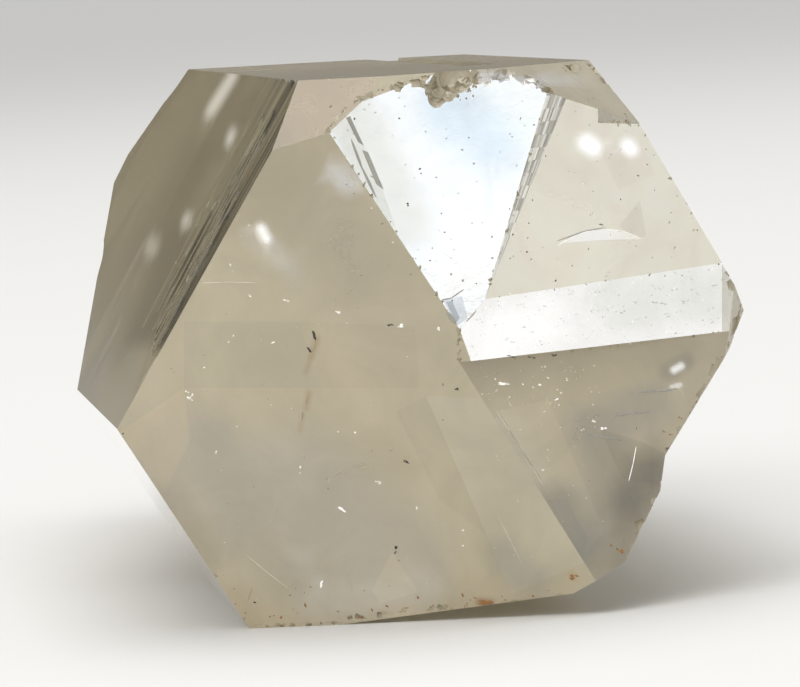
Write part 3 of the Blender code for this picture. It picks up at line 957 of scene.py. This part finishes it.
# floor and light
studio = {
    "floorRadius": 60.0,
    "floorEdges": 96,
    "floorColour": (0.67, 0.665, 0.65),
    "floorDarker": 0.985,
    "floorMottle": (30.0, 3.0, 0.5),
    "floorRoughness": 0.75,
    "sky": (  # brightness by height: 0 straight down, 0.5 the horizon, 1 overhead
        (0.0, (0.55, 0.55, 0.55)),
        (0.497, (0.835, 0.835, 0.825)),
        (0.70, (0.80, 0.80, 0.79)),
        (0.82, (1.0, 1.0, 1.0)),
    ),
    "skyBehind": (  # the same behind the crystal, with a dim warm strip above the horizon
        (0.0, (0.55, 0.55, 0.55)),
        (0.497, (0.806, 0.806, 0.796)),
        (0.504, (0.77, 0.77, 0.76)),
        (0.516, (0.31, 0.27, 0.19)),
        (0.60, (0.24, 0.21, 0.15)),
        (0.70, (0.50, 0.50, 0.51)),
        (0.82, (1.0, 1.0, 1.0)),
    ),
    "behindFrom": (0.45, 0.80),  # how far the direction turns to +Y before the strip starts and is full
    "skyStrength": 0.72,
    "lights": {  # place and size in metres, and power in watts
        "keySoftbox": ((-0.45, -0.55, 0.60), (0.5, 0.5), 3.0),
        "topSoftbox": ((0.0, 0.10, 0.80), (0.7, 0.7), 3.0),
    },
    "sunTurn": (28.0, -18.0),
    "sunStrength": 0.80,
    "sunWidth": 50.0,
    "lightAim": (0.0, 0.0, 0.008),
    "panel": {  # small light that the white face mirrors towards the camera
        "pixel": (440, 190), "face": "mirror", "distance": 0.20, "size": (0.030, 0.036),
        "power": 0.0030, "colour": (0.93, 0.97, 1.0),
    },
}


def addAreaLight(name, place, aim, size, power, colour=(1.0, 1.0, 1.0)):
    data = bpy.data.lights.new(name, "AREA")
    data.shape = "RECTANGLE"
    data.size, data.size_y = size
    data.energy = power
    data.color = colour
    light = bpy.data.objects.new(name, data)
    bpy.context.scene.collection.objects.link(light)
    turn = (aim - place).to_track_quat("-Z", "Y").to_matrix().to_4x4()
    light.matrix_world = Matrix.Translation(place) @ turn


def makeFloor():
    mesh = bmesh.new()
    bmesh.ops.create_circle(mesh, cap_ends=True, segments=studio["floorEdges"], radius=studio["floorRadius"])
    floor = makePiece("floor", mesh)
    kit = Kit(bpy.data.materials.new("floorFinish"))
    mottle = kit.noise(kit.objectPlace(), *studio["floorMottle"])
    darker = tuple(value * studio["floorDarker"] for value in studio["floorColour"])
    colour = kit.mixColour(mottle, studio["floorColour"], darker)
    kit.set(Base_Color=colour, Roughness=studio["floorRoughness"])
    floor.data.materials.append(kit.owner)
    floor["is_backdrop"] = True


def makeSky():
    world = bpy.data.worlds.new("studioAir")
    bpy.context.scene.world = world
    kit = Kit(world, "Background")
    _, toBack, upward = kit.parts("ShaderNodeSeparateXYZ", kit.node("ShaderNodeTexCoord"))
    height = upward * 0.5 + 0.5
    around, behind = (
        kit.node("ShaderNodeValToRGB", {"stops": studio[name]}, {0: height}) for name in ("sky", "skyBehind")
    )
    shade = kit.mixColour(toBack.between(*studio["behindFrom"]), around, behind)
    kit.set(Color=shade, Strength=studio["skyStrength"])


def makeLights(tree):
    aim = Vector(studio["lightAim"])
    for name, (place, size, power) in studio["lights"].items():
        addAreaLight(name, Vector(place), aim, size, power)
    data = bpy.data.lights.new("softSun", "SUN")
    data.energy = studio["sunStrength"]
    data.angle = math.radians(studio["sunWidth"])
    sun = bpy.data.objects.new("softSun", data)
    sun.rotation_euler = [math.radians(value) for value in (*studio["sunTurn"], 0.0)]
    bpy.context.scene.collection.objects.link(sun)

    panel = studio["panel"]
    place, ray = pixelRay(*panel["pixel"])
    hit = tree.ray_cast(place, ray)[0]
    normal = faceNormal(crystalFaces[panel["face"]])
    away = ray - normal * 2.0 * ray.dot(normal)
    centre = hit + away * panel["distance"]
    addAreaLight("facePanel", centre, hit, panel["size"], panel["power"], panel["colour"])


def makeStudio(tree):
    makeFloor()
    makeSky()
    makeLights(tree)
    bpy.context.scene.view_settings.view_transform = "Standard"
    print("studio ready")


makeCamera()
crystal, crystalTree = makeCrystal()
crystal.data.materials.append(makeCrystalMaterial())
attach(crystal, "root")
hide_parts("phenakite_crystal")
makeMarks(crystalTree)
makeStudio(crystalTree)

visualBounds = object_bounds()
boxes = {"cad": cadBounds, "visual": visualBounds}
{name: [list(corner) for corner in box] for name, box in boxes.items()}
